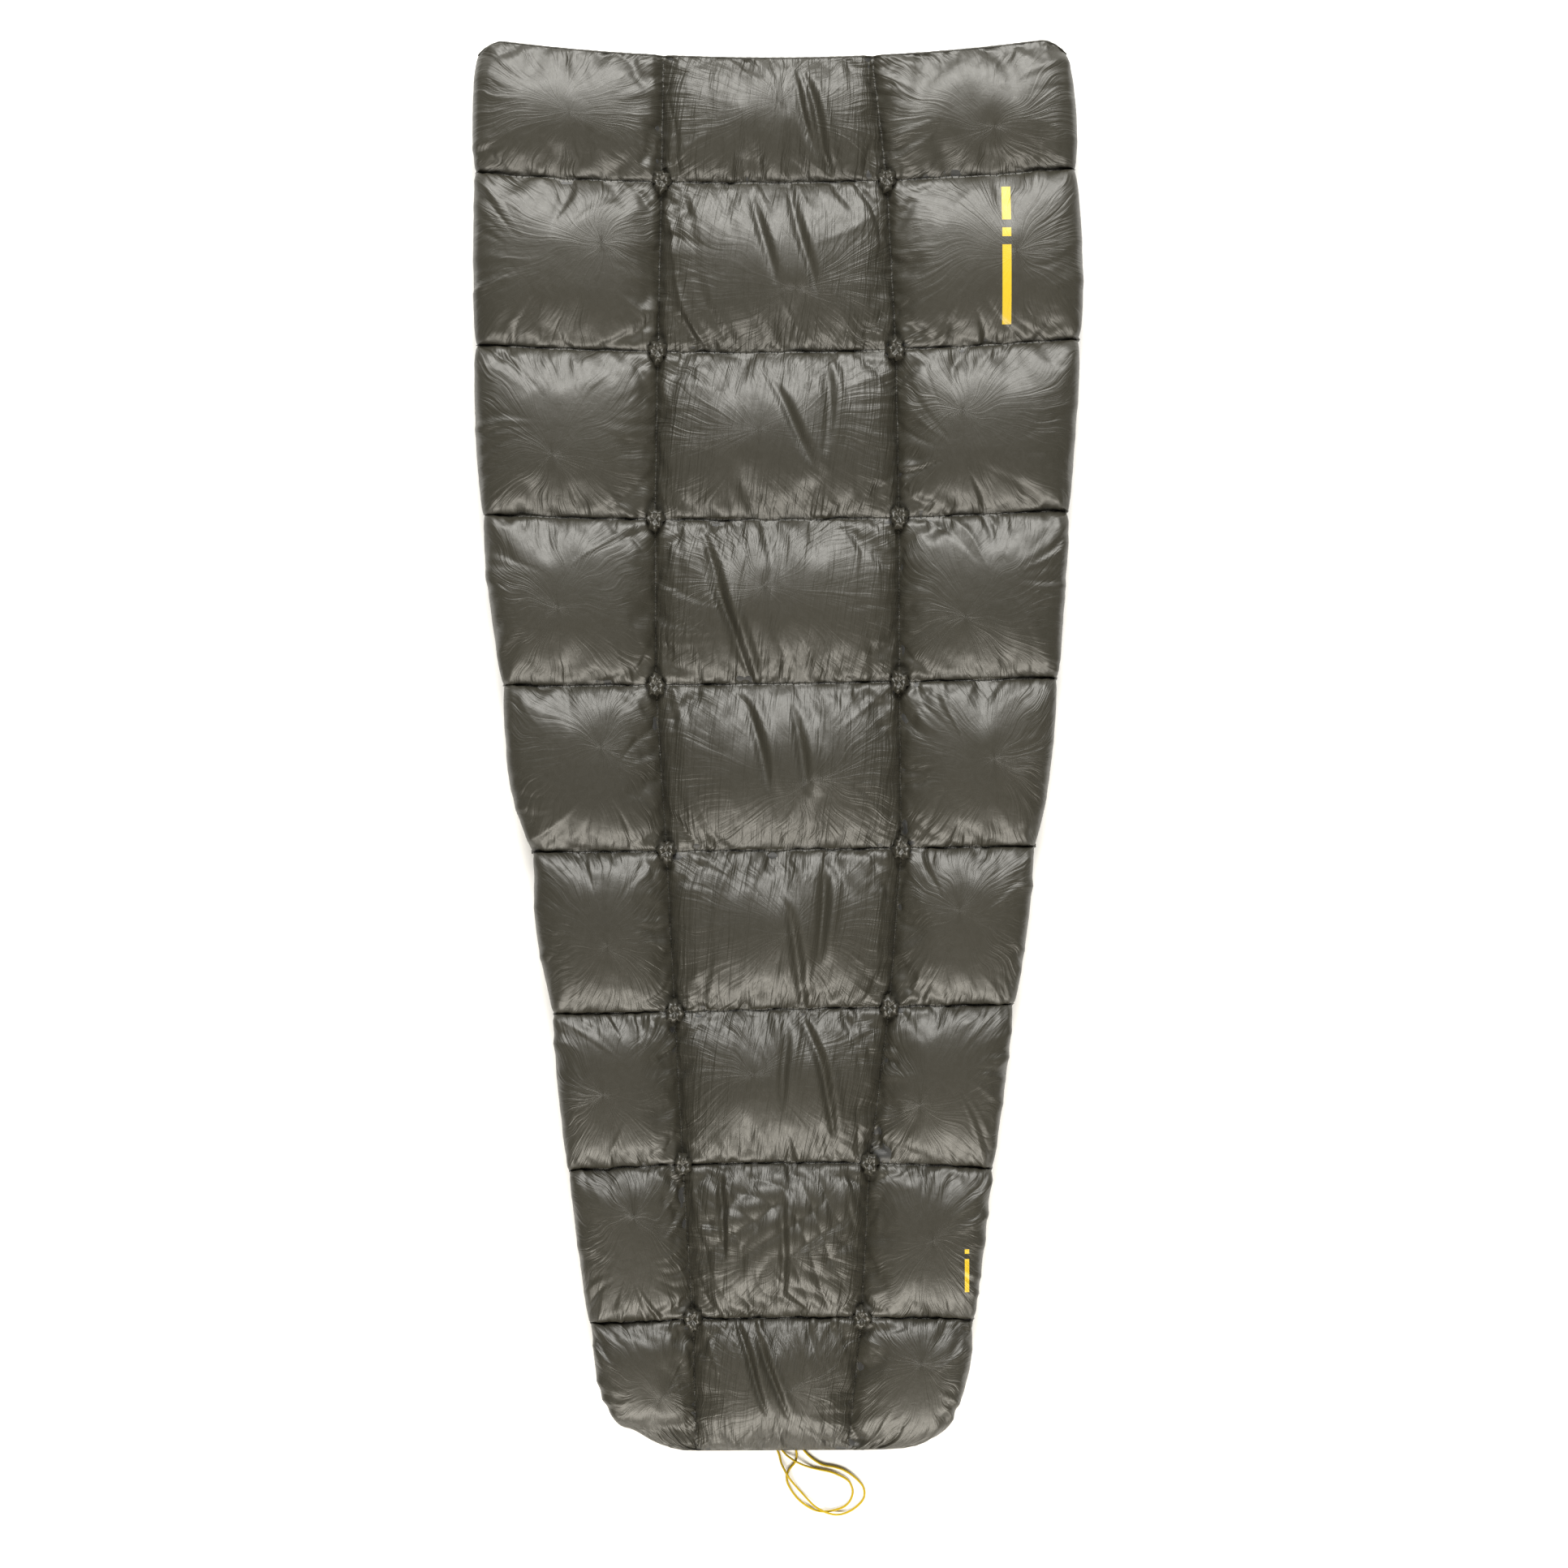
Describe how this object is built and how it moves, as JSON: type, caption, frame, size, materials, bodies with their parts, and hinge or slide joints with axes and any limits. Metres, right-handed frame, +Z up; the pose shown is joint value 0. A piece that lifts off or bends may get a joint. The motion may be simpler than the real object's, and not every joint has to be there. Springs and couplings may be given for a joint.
{
  "type": "camp quilt",
  "caption": "Tapered down camp quilt with sewn-through boxes, its sides folded under, a zipped foot box and an elastic drawcord with a cord lock.",
  "frame": {"origin": "on the ground under the middle of the quilt, measured without its drawcord", "axes": "+Z up, +Y towards the head end, +X to the right of a sleeper who looks up at +Z with the head at +Y seen from above"},
  "size_m": [0.8226, 1.9905, 0.0741],
  "materials": {
    "shell_fabric": "thin glossy coated nylon, dark olive",
    "liner_fabric": "thin soft nylon, near black",
    "down_fill": "off-white down clusters",
    "elastic_cord": "braided cover over an elastic core, yellow",
    "lock_plastic": "moulded acetal, fine matt",
    "steel": "bare spring steel and plated zip metal",
    "zip_tape": "woven polyester tape with a nylon coil"
  },
  "bodies": {
    "quilt": {"down_top_1_left": "down_fill", "down_top_1_centre": "down_fill", "down_top_1_right": "down_fill", "down_top_2_left": "down_fill", "down_top_2_centre": "down_fill", "down_top_2_right": "down_fill", "down_top_3_left": "down_fill", "down_top_3_centre": "down_fill", "down_top_3_right": "down_fill", "down_top_4_left": "down_fill", "down_top_4_centre": "down_fill", "down_top_4_right": "down_fill", "down_top_5_left": "down_fill", "down_top_5_centre": "down_fill", "down_top_5_right": "down_fill", "down_top_6_left": "down_fill", "down_top_6_centre": "down_fill", "down_top_6_right": "down_fill", "down_top_7_left": "down_fill", "down_top_7_centre": "down_fill", "down_top_7_right": "down_fill", "down_top_8_left": "down_fill", "down_top_8_centre": "down_fill", "down_top_8_right": "down_fill", "down_top_9_left": "down_fill", "down_top_9_centre": "down_fill", "down_top_9_right": "down_fill", "down_foot_6_left": "down_fill", "down_foot_6_right": "down_fill", "down_foot_7_left": "down_fill", "down_foot_7_right": "down_fill", "down_foot_8_left": "down_fill", "down_foot_8_right": "down_fill", "down_foot_9": "down_fill", "shell_top": "shell_fabric", "liner_top": "liner_fabric", "shell_foot": "shell_fabric", "liner_foot": "liner_fabric", "zip_tape_left": "zip_tape", "zip_tape_right": "zip_tape", "cord_lock_body": "lock_plastic", "cord_lock_spring": "steel", "foot_drawcord": "elastic_cord"},
    "left_flap": {"down_flap_1_left": "down_fill", "down_flap_2_left": "down_fill", "down_flap_3_left": "down_fill", "down_flap_4_left": "down_fill", "down_flap_5_left": "down_fill", "flap_shell_left": "shell_fabric", "flap_liner_left": "liner_fabric"},
    "right_flap": {"down_flap_1_right": "down_fill", "down_flap_2_right": "down_fill", "down_flap_3_right": "down_fill", "down_flap_4_right": "down_fill", "down_flap_5_right": "down_fill", "flap_shell_right": "shell_fabric", "flap_liner_right": "liner_fabric"},
    "zip_slider": {"zip_slider": "steel"},
    "zip_pull": {"zip_pull": "steel"},
    "cord_lock_button": {"cord_lock_button": "lock_plastic"}
  },
  "joints": [
    {"name": "left_flap_fold", "type": "hinge", "parent": "quilt", "child": "left_flap", "pos_m": [-0.39231, 0.08163, 0.029], "axis": [-0.0678, 0.9977, 0], "range_deg": [0, 182]},
    {"name": "right_flap_fold", "type": "hinge", "parent": "quilt", "child": "right_flap", "pos_m": [0.39231, 0.08163, 0.029], "axis": [-0.0678, -0.9977, 0], "range_deg": [0, 182]},
    {"name": "zip_slider_slide", "type": "slide", "parent": "quilt", "child": "zip_slider", "axis": [0, 1, 0], "range_m": [-0.36, 0]},
    {"name": "zip_pull_swing", "type": "hinge", "parent": "zip_slider", "child": "zip_pull", "pos_m": [0, -0.3732, 0.0106], "axis": [1, 0, 0], "range_deg": [0, 170]},
    {"name": "cord_lock_button_press", "type": "slide", "parent": "quilt", "child": "cord_lock_button", "axis": [-1, 0, 0], "range_m": [0, 0.002], "stiffness_N_per_m": 600, "deforming": ["cord_lock_spring"]}
  ]
}
